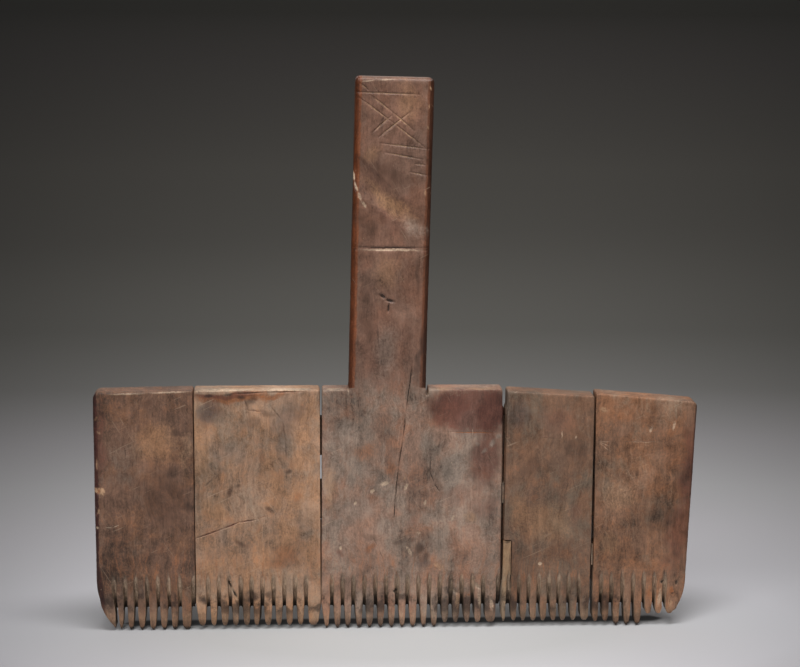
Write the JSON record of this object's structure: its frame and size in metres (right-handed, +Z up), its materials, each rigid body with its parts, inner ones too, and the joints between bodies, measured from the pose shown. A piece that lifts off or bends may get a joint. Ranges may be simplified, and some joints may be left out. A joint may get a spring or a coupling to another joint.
{
  "type": "wool carding comb",
  "caption": "Wooden T-shaped comb for wool: upright boards joined edge to edge by loose tongues, a sawn row of pointed teeth below and a flat handle above.",
  "frame": {"origin": "on the surface that the tips of the teeth stand on, below the middle of the row of boards", "axes": "+X to the right along the row, +Y from the front face to the back face, +Z up along the handle"},
  "size_m": [0.3033, 0.014, 0.2798],
  "materials": {
    "left_end_wood": "worn, dark patina",
    "left_inner_wood": "worn, satin",
    "centre_wood": "worn, polished by hands on the handle",
    "right_inner_wood": "worn, satin",
    "right_end_wood": "worn, satin",
    "let_in_wood": "worn, paler than the boards",
    "fill_wood": "rough",
    "tongue_wood": "rough sawn"
  },
  "bodies": {
    "root": {"left_end_board": "left_end_wood", "left_inner_board": "left_inner_wood", "centre_board": "centre_wood", "right_inner_board": "right_inner_wood", "right_end_board": "right_end_wood", "let_in_tooth": "let_in_wood", "right_centre_joint_fill": "fill_wood", "right_joint_fill": "fill_wood", "left_joint_upper_tongue": "tongue_wood", "left_joint_middle_tongue": "tongue_wood", "left_joint_lower_tongue": "tongue_wood", "left_centre_joint_upper_tongue": "tongue_wood", "left_centre_joint_middle_tongue": "tongue_wood", "left_centre_joint_lower_tongue": "tongue_wood", "right_centre_joint_upper_tongue": "tongue_wood", "right_centre_joint_middle_tongue": "tongue_wood", "right_centre_joint_lower_tongue": "tongue_wood", "right_joint_upper_tongue": "tongue_wood", "right_joint_middle_tongue": "tongue_wood", "right_joint_lower_tongue": "tongue_wood"}
  },
  "joints": []
}
